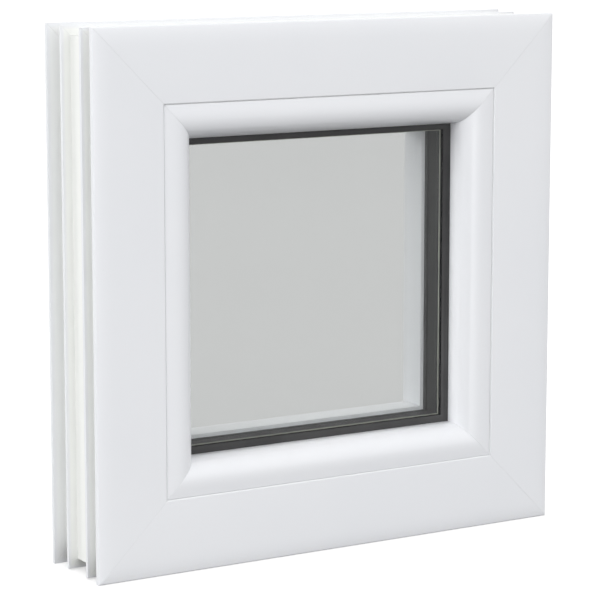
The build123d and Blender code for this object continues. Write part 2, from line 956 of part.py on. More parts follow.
roller_insets = (
    hardware_inset - roller_standoff - roller_length,
    hardware_inset - roller_standoff,
)
cam_head_inset = roller_insets[0] - cam_head_height
with BuildPart() as cam_pins:
    for z in cam_heights:
        with Locations(jamb_plane("lock", cam_head_inset, hardware_depth, z)):
            upright = (Align.CENTER, Align.CENTER, Align.MIN)
            Cylinder(
                cam_pin_radius,
                rod_inset + rod_thickness - cam_head_inset,
                align=upright,
            )
            Cylinder(cam_pin_radius + cam_head_lip, cam_head_height, align=upright)
write(cam_pins.part, "cam_pins")

with BuildPart() as cam_rollers:
    for z in cam_heights:
        with BuildSketch(jamb_plane("lock", roller_insets[0], hardware_depth, z)):
            Circle(roller_radius)
            Circle(cam_pin_radius + running_fit, mode=Mode.SUBTRACT)
        extrude(amount=roller_length)
write(cam_rollers.part, "cam_rollers")

# ---- gearbox: case, toothed sector and spindle ----
tooth_tip = pitch_radius + rod_thickness / 2
sector_root = pitch_radius - rod_thickness / 2 - tooth_root_gap
with BuildPart() as gearbox_case:
    block(
        (hardware_depth - case_thickness / 2, hardware_depth + case_thickness / 2),
        case_insets,
        (middle_z - case_length / 2, middle_z + case_length / 2),
    )
    fillet(gearbox_case.edges().filter_by(Axis.X), radius=case_corner_radius)
    cavity = room_plane(spindle_x, hardware_depth - sector_half - slide_play, middle_z)
    with BuildSketch(cavity):
        Circle(tooth_tip + tooth_tip_play)
        with Locations((hub_radius + tooth_tip - cavity_setback, 0)):
            Rectangle(2 * tooth_tip, 4 * tooth_tip, mode=Mode.SUBTRACT)
    extrude(amount=2 * (sector_half + slide_play), mode=Mode.SUBTRACT)
    with Locations(room_plane(spindle_x, hardware_depth, middle_z)):
        Hole(hub_radius + running_fit)
    with Locations(*handle_screws):
        Hole(handle_screw_radius)
write(gearbox_case.part, "gearbox_case")

with BuildPart() as gear_sector:
    with BuildSketch(room_plane(spindle_x, hardware_depth - sector_half, middle_z)):
        with BuildLine():
            PolarLine((0, 0), sector_root, sector_start)
            rim = CenterArc((0, 0), sector_root, sector_start, sector_sweep)
            Line(rim @ 1, (0, 0))
        make_face()
        with PolarLocations(0, teeth, start_angle=90, angular_range=90, endpoint=True):
            with Locations(((sector_root + tooth_tip - tooth_foot) / 2, 0)):
                tooth_height = tooth_tip - sector_root + tooth_foot
                Trapezoid(tooth_width, tooth_height, tooth_flank, rotation=-90)
    extrude(amount=2 * sector_half)
    with BuildSketch(room_plane(spindle_x, hardware_depth - case_thickness / 2, middle_z)):
        Circle(hub_radius)
    extrude(amount=case_thickness)
    with BuildSketch(room_plane(spindle_x, hardware_depth - case_thickness / 2, middle_z)):
        Rectangle(spindle_size + 2 * running_fit, spindle_size + 2 * running_fit)
    extrude(amount=case_thickness, mode=Mode.SUBTRACT)
write(gear_sector.part, "gear_sector")

spindle_start = hardware_depth - case_thickness / 2
spindle_end = room_face + spindle_reach
with BuildPart() as spindle:
    with BuildSketch(room_plane(spindle_x, spindle_start, middle_z)):
        Rectangle(spindle_size, spindle_size)
    extrude(amount=spindle_end - spindle_start)
    chamfer(spindle.edges().filter_by(Axis.Y), length=spindle_chamfer)
write(spindle.part, "handle_spindle")

# ---- handle on the room side ----
plate_margin = rosette_wall + rosette_play
cover_inner_radius = rosette_corner_radius - rosette_wall
with BuildPart() as rosette_plate:
    with BuildSketch(room_plane(spindle_x, room_face, middle_z)):
        RectangleRounded(
            rosette_width - 2 * plate_margin,
            rosette_length - 2 * plate_margin,
            cover_inner_radius,
        )
    extrude(amount=plate_thickness)
    with Locations(room_plane(spindle_x, room_face + plate_thickness, middle_z)):
        Hole(spindle_size)
    with Locations(*[plane.offset(plate_thickness) for plane in handle_screws]):
        CounterSinkHole(handle_screw_radius, handle_screw_head_radius, counter_sink_angle=90)
write(rosette_plate.part, "rosette_plate")
write(
    screws(
        [plane.offset(plate_thickness) for plane in handle_screws],
        handle_screw_radius,
        handle_screw_head_radius,
        handle_screw_length,
    ),
    "handle_screws",
)

with BuildPart() as rosette_cover:
    with BuildSketch(room_plane(spindle_x, room_face, middle_z)):
        RectangleRounded(rosette_width, rosette_length, rosette_corner_radius)
    extrude(amount=rosette_depth)
    fillet(rosette_cover.faces().sort_by(Axis.Y)[-1].edges(), radius=rosette_edge_radius)
    with BuildSketch(room_plane(spindle_x, room_face, middle_z)):
        RectangleRounded(
            rosette_width - 2 * rosette_wall,
            rosette_length - 2 * rosette_wall,
            cover_inner_radius,
        )
    extrude(amount=rosette_depth - rosette_top, mode=Mode.SUBTRACT)
    with Locations(room_plane(spindle_x, room_face + rosette_depth, middle_z)):
        Hole(neck_radius + neck_play)
write(rosette_cover.part, "rosette_cover")

arm_depth = overall_depth - lever_thickness
neck_start = room_face + plate_thickness + lever_play
with BuildPart() as lever:
    with BuildSketch(room_plane(spindle_x, neck_start, middle_z)):
        Circle(neck_radius)
    extrude(amount=arm_depth - neck_start + neck_overlap)
    with BuildSketch(room_plane(spindle_x, arm_depth, middle_z)):
        with BuildLine():
            tip_middle = lever_length - lever_width / 2 - lever_tip_radius
            heel = CenterArc((0, 0), lever_width / 2, 90, 180)
            nose = CenterArc((tip_middle, 0), lever_tip_radius, -90, 180)
            Line(heel @ 1, nose @ 0)
            Line(nose @ 1, heel @ 0)
        make_face()
    extrude(amount=lever_thickness)
    lever_edges = lever.faces().sort_by(Axis.Y)[-1].edges()
    fillet(lever_edges, radius=lever_edge_radius)
    with BuildSketch(room_plane(spindle_x, room_face, middle_z)):
        Rectangle(spindle_size + 2 * running_fit, spindle_size + 2 * running_fit)
    extrude(amount=spindle_end - room_face + lever_play, mode=Mode.SUBTRACT)
write(lever.part, "handle_lever")
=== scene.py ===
import json
import math
import bmesh
import bpy
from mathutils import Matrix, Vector


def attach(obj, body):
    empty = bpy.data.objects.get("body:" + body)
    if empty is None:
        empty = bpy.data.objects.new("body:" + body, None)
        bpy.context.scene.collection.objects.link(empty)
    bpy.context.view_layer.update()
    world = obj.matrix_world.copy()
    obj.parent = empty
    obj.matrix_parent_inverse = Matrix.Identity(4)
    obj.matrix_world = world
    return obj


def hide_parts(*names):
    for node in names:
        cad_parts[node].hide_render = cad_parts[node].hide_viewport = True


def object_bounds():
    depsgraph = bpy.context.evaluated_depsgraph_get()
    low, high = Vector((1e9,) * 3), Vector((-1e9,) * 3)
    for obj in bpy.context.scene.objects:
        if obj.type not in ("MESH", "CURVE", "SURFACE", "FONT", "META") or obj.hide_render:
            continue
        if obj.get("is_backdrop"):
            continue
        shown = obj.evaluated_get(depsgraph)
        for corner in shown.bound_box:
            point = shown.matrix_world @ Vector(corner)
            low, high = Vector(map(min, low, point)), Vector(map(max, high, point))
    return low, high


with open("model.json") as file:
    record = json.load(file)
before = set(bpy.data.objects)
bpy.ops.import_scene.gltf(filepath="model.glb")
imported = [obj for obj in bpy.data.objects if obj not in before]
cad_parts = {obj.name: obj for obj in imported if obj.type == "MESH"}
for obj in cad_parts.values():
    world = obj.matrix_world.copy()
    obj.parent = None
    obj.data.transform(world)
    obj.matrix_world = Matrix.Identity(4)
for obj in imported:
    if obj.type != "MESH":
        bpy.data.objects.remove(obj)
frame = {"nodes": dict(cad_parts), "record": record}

low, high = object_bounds()
nodes = frame["nodes"]
bodies = frame["record"]["behaviour"]["bodies"]
bodyOf = {node: body for body, members in bodies.items() for node in members}
slotOf = {node: piece.data.materials[0].name for node, piece in nodes.items()}

# the window's own places, in metres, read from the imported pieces
faceY = low.y
halfWide = high.x
middleZ = (low.z + high.z) / 2
millimetre = 0.001

noiseRange = (0.3, 0.7)    # most of a noise texture's values lie between these


# small helpers for building node trees
def addNode(tree, kind, place=(0, 0), **settings):
    node = tree.nodes.new(kind)
    node.location = place
    for name, value in settings.items():
        setattr(node, name, value)
    return node


# a linked socket or a plain value
def plug(tree, value, socket):
    if isinstance(value, bpy.types.NodeSocket):
        tree.links.new(value, socket)
    else:
        socket.default_value = value


def maths(tree, operation, first, second=0.0, clamp=False):
    node = addNode(tree, "ShaderNodeMath", operation=operation, use_clamp=clamp)
    plug(tree, first, node.inputs[0])
    if node.inputs[1].enabled:
        plug(tree, second, node.inputs[1])
    return node.outputs[0]


def remap(tree, value, fromRange, toRange=(0.0, 1.0), smooth=False):
    node = addNode(tree, "ShaderNodeMapRange", interpolation_type="SMOOTHSTEP" if smooth else "LINEAR")
    plug(tree, value, node.inputs["Value"])
    for name, number in zip(("From Min", "From Max", "To Min", "To Max"), (*fromRange, *toRange)):
        plug(tree, number, node.inputs[name])
    return node.outputs["Result"]


def mixColours(tree, factor, first, second):
    node = addNode(tree, "ShaderNodeMix", data_type="RGBA")
    plug(tree, factor, node.inputs[0])
    plug(tree, first, node.inputs[6])
    plug(tree, second, node.inputs[7])
    return node.outputs[2]


def addNoise(tree, coordinates, scale, detail):
    noise = addNode(tree, "ShaderNodeTexNoise")
    noise.inputs["Detail"].default_value = detail
    plug(tree, coordinates, noise.inputs["Vector"])
    plug(tree, scale, noise.inputs["Scale"])
    return noise.outputs["Fac"]


def newGroup(name, inputs, outputs):
    tree = bpy.data.node_groups.new(name, "ShaderNodeTree")
    for label, kind, value in inputs:
        socket = tree.interface.new_socket(label, in_out="INPUT", socket_type=kind)
        if value is not None:
            socket.default_value = value
    for label, kind in outputs:
        tree.interface.new_socket(label, in_out="OUTPUT", socket_type=kind)
    given = addNode(tree, "NodeGroupInput").outputs
    return tree, given, addNode(tree, "NodeGroupOutput", (900, 0)).inputs


# shared effects: first, where a point is on a length of profile, as its depth from the
# outdoor face, its inset from the outer edge and its distance from the nearest mitre
def makeProfilePlace():
    tree, given, result = newGroup(
        "profilePlace",
        [("Coordinates", "NodeSocketVector", None), ("Face", "NodeSocketFloat", faceY),
         ("Half Size", "NodeSocketFloat", halfWide), ("Middle Height", "NodeSocketFloat", middleZ)],
        [("Depth", "NodeSocketFloat"), ("Inset", "NodeSocketFloat"), ("Mitre Distance", "NodeSocketFloat")])
    split = addNode(tree, "ShaderNodeSeparateXYZ")
    plug(tree, given["Coordinates"], split.inputs[0])
    across = maths(tree, "ABSOLUTE", split.outputs["X"])
    up = maths(tree, "ABSOLUTE", maths(tree, "SUBTRACT", split.outputs["Z"], given["Middle Height"]))
    plug(tree, maths(tree, "SUBTRACT", split.outputs["Y"], given["Face"]), result["Depth"])
    furthest = maths(tree, "MAXIMUM", across, up)
    plug(tree, maths(tree, "SUBTRACT", given["Half Size"], furthest), result["Inset"])
    apart = maths(tree, "ABSOLUTE", maths(tree, "SUBTRACT", across, up))
    plug(tree, maths(tree, "MULTIPLY", apart, math.sqrt(0.5)), result["Mitre Distance"])
    return tree


skinNoise = {"pebbleScale": 1800.0, "pebbleDetail": 3.0, "cloudScale": 12.0, "cloudDetail": 4.0}


# fine pebble of a moulded or extruded skin, and slow changes of tone over it
def makeMouldedGrain():
    tree, given, result = newGroup(
        "mouldedGrain",
        [("Coordinates", "NodeSocketVector", None),
         ("Pebble Scale", "NodeSocketFloat", skinNoise["pebbleScale"]),
         ("Cloud Scale", "NodeSocketFloat", skinNoise["cloudScale"])],
        [("Height", "NodeSocketFloat"), ("Cloud", "NodeSocketFloat")])
    pebble = addNoise(tree, given["Coordinates"], given["Pebble Scale"], skinNoise["pebbleDetail"])
    cloud = addNoise(tree, given["Coordinates"], given["Cloud Scale"], skinNoise["cloudDetail"])
    plug(tree, pebble, result["Height"])
    plug(tree, remap(tree, cloud, noiseRange, smooth=True), result["Cloud"])
    return tree


lineNoise = {"scale": 900.0, "detail": 2.0}


# long faint lines left by the die or the rolls, running along one direction
def makeDrawnLines():
    tree, given, result = newGroup(
        "drawnLines",
        [("Coordinates", "NodeSocketVector", None), ("Stretch", "NodeSocketVector", (1.0, 1.0, 1.0)),
         ("Scale", "NodeSocketFloat", lineNoise["scale"])],
        [("Height", "NodeSocketFloat")])
    stretched = addNode(tree, "ShaderNodeVectorMath", operation="MULTIPLY")
    plug(tree, given["Coordinates"], stretched.inputs[0])
    plug(tree, given["Stretch"], stretched.inputs[1])
    plug(tree, addNoise(tree, stretched.outputs[0], given["Scale"], lineNoise["detail"]), result["Height"])
    return tree


dustFilm = {
    "scale": 90.0,
    "detail": 6.0,
    "amount": 0.2,
    "faces": (0.2, 1.0),      # how far a surface faces up where dust starts, and where it is thickest
    "specks": (0.35, 0.7),
}


# a thin film of dust on what faces up
def makeSettledDust():
    tree, given, result = newGroup(
        "settledDust",
        [("Coordinates", "NodeSocketVector", None), ("Scale", "NodeSocketFloat", dustFilm["scale"]),
         ("Amount", "NodeSocketFloat", dustFilm["amount"])],
        [("Mask", "NodeSocketFloat")])
    speck = addNoise(tree, given["Coordinates"], given["Scale"], dustFilm["detail"])
    normal = addNode(tree, "ShaderNodeSeparateXYZ")
    plug(tree, addNode(tree, "ShaderNodeNewGeometry").outputs["Normal"], normal.inputs[0])
    facingUp = remap(tree, normal.outputs["Z"], dustFilm["faces"])
    film = maths(tree, "MULTIPLY", remap(tree, speck, dustFilm["specks"]), facingUp)
    plug(tree, maths(tree, "MULTIPLY", film, given["Amount"], clamp=True), result["Mask"])
    return tree


profilePlace = makeProfilePlace()
mouldedGrain = makeMouldedGrain()
drawnLines = makeDrawnLines()
settledDust = makeSettledDust()
print("shared effects made")


def useGroup(tree, group, coordinates, **values):
    node = addNode(tree, "ShaderNodeGroup", node_tree=group)
    plug(tree, coordinates, node.inputs["Coordinates"])
    for label, value in values.items():
        plug(tree, value, node.inputs[label.replace("_", " ")])
    return node.outputs


def newMaterial(name, roughness=0.4, metallic=0.0):
    material = bpy.data.materials.new(name)
    material.use_nodes = True
    tree = material.node_tree
    shader = tree.nodes["Principled BSDF"]
    shader.inputs["Roughness"].default_value = roughness
    shader.inputs["Metallic"].default_value = metallic
    coordinates = addNode(tree, "ShaderNodeTexCoord", (-1200, 0)).outputs["Object"]
    return material, tree, shader, coordinates


def addBump(tree, shader, height, depth):
    bump = addNode(tree, "ShaderNodeBump", (-200, -400))
    bump.inputs["Distance"].default_value = depth
    plug(tree, height, bump.inputs["Height"])
    tree.links.new(bump.outputs["Normal"], shader.inputs["Normal"])


# finishes
whiteUpvc = {
    "face": (0.80, 0.81, 0.835, 1),
    "faceCloud": (0.785, 0.797, 0.825, 1),
    "channelPaintedLight": (0.87, 0.88, 0.86, 1),     # painted light: the channels are coloured lighter and a little greener to lift the shade in them
    "seam": (0.68, 0.69, 0.71, 1),
    "dust": (0.60, 0.58, 0.54, 1),
    "dustAmount": 0.10,
    "roughness": (0.27, 0.36),
    "channelRougher": 0.12,
    "channelDepths": (0.005, 0.0732),
    "channelInset": 0.0145,
    "channelSoftness": 0.0004,
    "finEdge": (0.0012, 0.004),        # the fins keep the face's colour at their outer edges
    "seamHalf": 0.00028,
    "seamFade": (0.4, 1.6),            # in half widths of the seam
    "seamMix": 0.25,
    "seamRelief": 3.0,
    "pebbleScale": 1500.0,
    "cloudScale": 9.0,
    "lineScale": 700.0,
    "lineStretch": {"x": (0.01, 1, 1), "z": (1, 1, 0.01)},
    "lineRelief": 0.8,
    "grainDepth": 0.000012,
}


def upvcFinish(name, along):
    settings = whiteUpvc
    material, tree, shader, coordinates = newMaterial(name)
    place = useGroup(tree, profilePlace, coordinates)
    grain = useGroup(tree, mouldedGrain, coordinates,
                     Pebble_Scale=settings["pebbleScale"], Cloud_Scale=settings["cloudScale"])
    lines = useGroup(tree, drawnLines, coordinates,
                     Stretch=settings["lineStretch"][along], Scale=settings["lineScale"])
    dust = useGroup(tree, settledDust, coordinates, Amount=settings["dustAmount"])
    skin = mixColours(tree, grain["Cloud"], settings["face"], settings["faceCloud"])
    start, end = settings["channelDepths"]
    softness = settings["channelSoftness"]
    channel = remap(tree, place["Depth"], (start, start + softness))
    channel = maths(tree, "MULTIPLY", channel, remap(tree, place["Depth"], (end, end - softness)))
    outside = maths(tree, "LESS_THAN", place["Inset"], settings["channelInset"])
    channel = maths(tree, "MULTIPLY", channel, outside)
    channel = maths(tree, "MULTIPLY", channel, remap(tree, place["Inset"], settings["finEdge"]))
    # painted light: inside the channels the skin takes the lighter, greener channel colour
    skin = mixColours(tree, channel, skin, settings["channelPaintedLight"])
    fade = [settings["seamHalf"] * share for share in settings["seamFade"]]
    seam = remap(tree, place["Mitre Distance"], fade, (1.0, 0.0), smooth=True)
    skin = mixColours(tree, maths(tree, "MULTIPLY", seam, settings["seamMix"]), skin, settings["seam"])
    skin = mixColours(tree, dust["Mask"], skin, settings["dust"])
    tree.links.new(skin, shader.inputs["Base Color"])
    shine = remap(tree, grain["Height"], noiseRange, settings["roughness"])
    rougher = maths(tree, "MULTIPLY", channel, settings["channelRougher"])
    plug(tree, maths(tree, "ADD", shine, rougher), shader.inputs["Roughness"])
    drawn = maths(tree, "MULTIPLY", lines["Height"], settings["lineRelief"])
    relief = maths(tree, "ADD", grain["Height"], drawn)
    relief = maths(tree, "SUBTRACT", relief, maths(tree, "MULTIPLY", seam, settings["seamRelief"]))
    addBump(tree, shader, relief, settings["grainDepth"])
    return material


# plastic, rubber and powder coat; a finish of its own changes only what differs from these
plasticSkin = {
    "pebble": 1200.0,
    "cloudScale": 25.0,
    "depth": 0.00002,
    "dust": 0.08,
    "dustColour": (0.42, 0.40, 0.37, 1),
    "shine": 0.5,
    "smoother": 0.05,
    "rougher": 0.06,
}
plastics = {
    "sealRubber": {"colour": (0.016, 0.016, 0.017, 1), "cloud": (0.030, 0.030, 0.031, 1),
                   "roughness": 0.5, "pebble": 900.0, "depth": 0.00004, "dust": 0.04},
    "paleSeal": {"colour": (0.78, 0.79, 0.80, 1), "cloud": (0.75, 0.76, 0.77, 1),
                 "roughness": 0.6, "pebble": 1500.0, "depth": 0.00003, "dust": 0.0},
    # painted shade: the perforations are flat near-black discs that stand in for the shade inside each hole
    "perforation": {"colour": (0.004, 0.004, 0.004, 1), "cloud": (0.006, 0.006, 0.006, 1),
                    "roughness": 0.8, "dust": 0.0},
    "warmEdgeSpacer": {"colour": (0.011, 0.012, 0.012, 1), "cloud": (0.016, 0.017, 0.016, 1),
                       "roughness": 0.42, "pebble": 1500.0, "depth": 0.000003, "dust": 0.0, "shine": 0.04},
    "edgeSealant": {"colour": (0.02, 0.02, 0.021, 1), "cloud": (0.035, 0.035, 0.036, 1),
                    "roughness": 0.65, "pebble": 400.0, "depth": 0.0002, "dust": 0.0},
    "settingBlock": {"colour": (0.10, 0.16, 0.26, 1), "cloud": (0.12, 0.18, 0.28, 1), "roughness": 0.45},
    "powderCoat": {"colour": (0.79, 0.80, 0.82, 1), "cloud": (0.77, 0.78, 0.80, 1),
                   "roughness": 0.32, "pebble": 700.0, "depth": 0.00005, "dust": 0.03},
    "capPlastic": {"colour": (0.78, 0.79, 0.81, 1), "cloud": (0.76, 0.77, 0.79, 1),
                   "roughness": 0.30, "pebble": 1400.0, "dust": 0.03},
}


def plasticFinish(name):
    settings = {**plasticSkin, **plastics[name]}
    material, tree, shader, coordinates = newMaterial(name)
    grain = useGroup(tree, mouldedGrain, coordinates,
                     Pebble_Scale=settings["pebble"], Cloud_Scale=settings["cloudScale"])
    film = useGroup(tree, settledDust, coordinates, Amount=settings["dust"])
    skin = mixColours(tree, grain["Cloud"], settings["colour"], settings["cloud"])
    skin = mixColours(tree, film["Mask"], skin, settings["dustColour"])
    tree.links.new(skin, shader.inputs["Base Color"])
    middle = settings["roughness"]
    spread = (middle - settings["smoother"], middle + settings["rougher"])
    plug(tree, remap(tree, grain["Height"], noiseRange, spread), shader.inputs["Roughness"])
    shader.inputs["Specular IOR Level"].default_value = settings["shine"]
    addBump(tree, shader, grain["Height"], settings["depth"])
    return material


# drawn or rolled metal, plated or bare
platedSkin = {
    "pebble": 600.0,
    "cloudScale": 60.0,
    "lineStretch": (1, 1, 0.03),
    "lineScale": 500.0,
    "smoother": 0.07,
    "rougher": 0.1,
    "grainRelief": 0.5,
    "depth": 0.000015,
}
metals = {
    "spacerFoil": {"colour": (0.34, 0.35, 0.30, 1), "shade": (0.27, 0.28, 0.25, 1), "roughness": 0.4},
    "brightSteel": {"colour": (0.60, 0.60, 0.59, 1), "shade": (0.52, 0.52, 0.51, 1), "roughness": 0.25},
    "zincPlated": {"colour": (0.66, 0.67, 0.66, 1), "shade": (0.58, 0.58, 0.52, 1), "roughness": 0.33},
}


def platedFinish(name):
    settings = {**platedSkin, **metals[name]}
    material, tree, shader, coordinates = newMaterial(name, metallic=1.0)
    grain = useGroup(tree, mouldedGrain, coordinates,
                     Pebble_Scale=settings["pebble"], Cloud_Scale=settings["cloudScale"])
    lines = useGroup(tree, drawnLines, coordinates,
                     Stretch=settings["lineStretch"], Scale=settings["lineScale"])
    skin = mixColours(tree, grain["Cloud"], settings["colour"], settings["shade"])
    tree.links.new(skin, shader.inputs["Base Color"])
    middle = settings["roughness"]
    spread = (middle - settings["smoother"], middle + settings["rougher"])
    plug(tree, remap(tree, lines["Height"], noiseRange, spread), shader.inputs["Roughness"])
    pebbled = maths(tree, "MULTIPLY", grain["Height"], settings["grainRelief"])
    addBump(tree, shader, maths(tree, "ADD", lines["Height"], pebbled), settings["depth"])
    return material


galvanised = {
    "crystalScale": 220.0,
    "pebble": 900.0,
    "dark": (0.52, 0.54, 0.56, 1),
    "light": (0.68, 0.70, 0.72, 1),
    "roughness": (0.28, 0.5),
    "depth": 0.00002,
}


# hot-dip zinc: flat crystals a few millimetres across, each with its own shine
def galvanisedFinish():
    settings = galvanised
    material, tree, shader, coordinates = newMaterial("galvanisedSteel", metallic=1.0)
    crystals = addNode(tree, "ShaderNodeTexVoronoi")
    crystals.inputs["Scale"].default_value = settings["crystalScale"]
    plug(tree, coordinates, crystals.inputs["Vector"])
    tone = addNode(tree, "ShaderNodeSeparateColor")
    plug(tree, crystals.outputs["Color"], tone.inputs[0])
    grain = useGroup(tree, mouldedGrain, coordinates, Pebble_Scale=settings["pebble"])
    skin = mixColours(tree, tone.outputs[0], settings["dark"], settings["light"])
    tree.links.new(skin, shader.inputs["Base Color"])
    plug(tree, remap(tree, tone.outputs[1], (0.0, 1.0), settings["roughness"]), shader.inputs["Roughness"])
    addBump(tree, shader, grain["Height"], settings["depth"])
    return material


# clear float glass; the inner pane is lightly tinted, and its shine is a little stronger
panes = {
    "pane_outer": {"colour": (0.98, 0.985, 0.98, 1), "shine": 0.06},
    "pane_inner": {"colour": (0.775, 0.787, 0.782, 1), "shine": 0.3},
}
floatGlass = {
    "index": 1.45,
    "roughness": 0.0,
    "through": 1.0,
    "waveScale": 9.0,         # the slight roll of float glass
    "waveDetail": 0.0,
    "waveDepth": 0.00002,
}


def glassFinish(pane):
    settings = {**floatGlass, **panes[pane]}
    material, tree, shader, coordinates = newMaterial(pane + "Glass", roughness=settings["roughness"])
    shader.inputs["Base Color"].default_value = settings["colour"]
    shader.inputs["Transmission Weight"].default_value = settings["through"]
    shader.inputs["IOR"].default_value = settings["index"]
    shader.inputs["Specular IOR Level"].default_value = settings["shine"]
    wave = addNoise(tree, coordinates, settings["waveScale"], settings["waveDetail"])
    addBump(tree, shader, wave, settings["waveDepth"])
    return material


finishes = {
    "upvcAcross": upvcFinish("whiteUpvcAcross", "x"),
    "upvcUpright": upvcFinish("whiteUpvcUpright", "z"),
    "galvanised_steel": galvanisedFinish(),
    "seal_rubber": plasticFinish("sealRubber"),
    "pane_outer": glassFinish("pane_outer"),
    "pane_inner": glassFinish("pane_inner"),
    "pale_seal": plasticFinish("paleSeal"),
    "foil": platedFinish("spacerFoil"),
    "hole": plasticFinish("perforation"),
    "spacer": plasticFinish("warmEdgeSpacer"),
    "sealant": plasticFinish("edgeSealant"),
    "block_plastic": plasticFinish("settingBlock"),
    "white_metal": plasticFinish("powderCoat"),
    "white_plastic": plasticFinish("capPlastic"),
    "bright_steel": platedFinish("brightSteel"),
    "zinc_plated": platedFinish("zincPlated"),
}
print("finishes made:", len(finishes))


# head and sill run across, jambs and stiles upright, each with its drawn lines along it
def finishOf(node):
    if slotOf[node] == "white_upvc":
        return finishes["upvcAcross" if node.split("_")[1] in ("head", "sill") else "upvcUpright"]
    return finishes[node if node in panes else slotOf[node]]


def addObject(name, mesh):
    piece = bpy.data.objects.new(name, mesh)
    bpy.context.scene.collection.objects.link(piece)
    return piece


# CAD pieces: better finishes, and softened copies where edges catch the light
softEdge = {
    "slots": ("white_upvc", "white_plastic", "white_metal"),
    "width": 0.00015,
    "segments": 2,
    "sharpest": 40,
    "smoothAngle": 32,
    "merge": 0.00001,
    "flat": 0.5,
}


# a copy of a piece with its doubles merged, its flat faces whole and its edges eased
def makeSoftened(node):
    settings = softEdge
    mesh = bpy.data.meshes.new(node + "_soft")
    shape = bmesh.new()
    shape.from_mesh(nodes[node].data)
    bmesh.ops.remove_doubles(shape, verts=shape.verts, dist=settings["merge"])
    bmesh.ops.dissolve_limit(shape, angle_limit=math.radians(settings["flat"]),
                             verts=shape.verts, edges=shape.edges)
    shape.to_mesh(mesh)
    shape.free()
    piece = addObject(node + "_soft", mesh)
    ease = piece.modifiers.new("ease", "BEVEL")
    ease.width = settings["width"]
    ease.segments = settings["segments"]
    ease.limit_method = "ANGLE"
    ease.angle_limit = math.radians(settings["sharpest"])
    ease.use_clamp_overlap = True
    ease.miter_outer = "MITER_ARC"
    mesh.shade_smooth()
    mesh.set_sharp_from_angle(angle=math.radians(settings["smoothAngle"]))
    mesh.materials.append(finishOf(node))
    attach(piece, bodyOf[node])
    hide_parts(node)


for node, piece in nodes.items():
    if slotOf[node] in softEdge["slots"]:
        makeSoftened(node)
    else:
        piece.data.materials.clear()
        piece.data.materials.append(finishOf(node))
for pane in panes:
    nodes[pane].visible_shadow = False    # light reaches through the glass to what is behind it
print("pieces dressed")


# points on an oval, from one angle to another, for a bulb or a lip
def roundedBead(middle, radii, start, end, steps):
    angles = [math.radians(start + (end - start) * step / steps) for step in range(steps + 1)]
    return [(middle[0] + radii[0] * math.cos(angle), middle[1] + radii[1] * math.sin(angle))
            for angle in angles]


# rings of profile round the window: sections in millimetres, (depth from the face, inset from the edge)
rimEdge = 83.0      # the inset at which the sash's rounded rim ends
rings = {
    "glazingGasketOutside": {
        "section": [(23.0, 73.0), (20.0, 73.0), (20.0, rimEdge - 0.5),
                    *roundedBead((20.1, rimEdge + 0.1), (0.5, 0.6), -130, -300, 6),
                    (20.75, 84.2), (20.9, 84.9), (21.2, 85.8), (21.6, 86.6), (22.05, 87.3),
                    *roundedBead((22.6, 87.6), (0.4, 0.4), 150, 0, 4)],
        "body": "sash", "slot": "seal_rubber", "finish": "seal_rubber", "replaces": "outer_glazing_gasket",
    },
    "frameSealBulb": {
        "section": [(14.0, 47.5), (14.0, 52.0),
                    *roundedBead((15.6, 50.0), (1.55, 1.9), 80, -80, 10),
                    (15.0, 47.9)],
        "body": "frame", "slot": "seal_rubber", "finish": "seal_rubber", "replaces": "frame_seal",
    },
    "sashSealBulb": {
        "section": [(78.5, 28.6), (78.5, 31.4),
                    *roundedBead((77.4, 30.0), (1.05, 1.5), 70, 290, 12)],
        "body": "sash", "slot": "seal_rubber", "finish": "seal_rubber", "replaces": "sash_seal",
    },
    "spacerFoilEdge": {
        "section": [(27.05, 88.0), (27.05, 88.55), (27.3, 88.8), (27.9, 88.8), (28.1, 88.5), (28.1, 88.0)],
        "body": "sash", "slot": "spacer", "finish": "foil",
    },
}
ringSmoothAngle = 50


def makeRing(name):
    settings = rings[name]
    section = settings["section"]
    mesh = bpy.data.meshes.new(name)
    shape = bmesh.new()
    loops = []
    for right, up in ((-1, -1), (1, -1), (1, 1), (-1, 1)):
        corner = []
        for depth, inset in section:
            out = halfWide - inset * millimetre
            corner.append(shape.verts.new((right * out, faceY + depth * millimetre, middleZ + up * out)))
        loops.append(corner)
    for side in range(4):
        here, there = loops[side], loops[(side + 1) % 4]
        for step in range(len(section)):
            after = (step + 1) % len(section)
            shape.faces.new((here[step], here[after], there[after], there[step]))
    bmesh.ops.recalc_face_normals(shape, faces=shape.faces)
    shape.to_mesh(mesh)
    shape.free()
    mesh.shade_smooth()
    mesh.set_sharp_from_angle(angle=math.radians(ringSmoothAngle))
    mesh.materials.append(finishes[settings["finish"]])
    piece = addObject(name, mesh)
    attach(piece, settings["body"])
    if "replaces" in settings:
        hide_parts(settings["replaces"])


for name in rings:
    makeRing(name)
print("seals and gaskets rung:", len(rings))


# perforations that let the desiccant in the spacer breathe, drawn as flat discs of painted shade on the
# spacer's face; lengths in millimetres
perforations = {
    "spacerInset": 88.0,    # the spacer's inner face, in from the window's edge
    "pitch": 3.2,
    "radius": 0.45,
    "sides": 10,
    "rowGap": 4.6,
    "depth": 35.0,
    "lift": 0.03,
    "margin": 8.0,
}


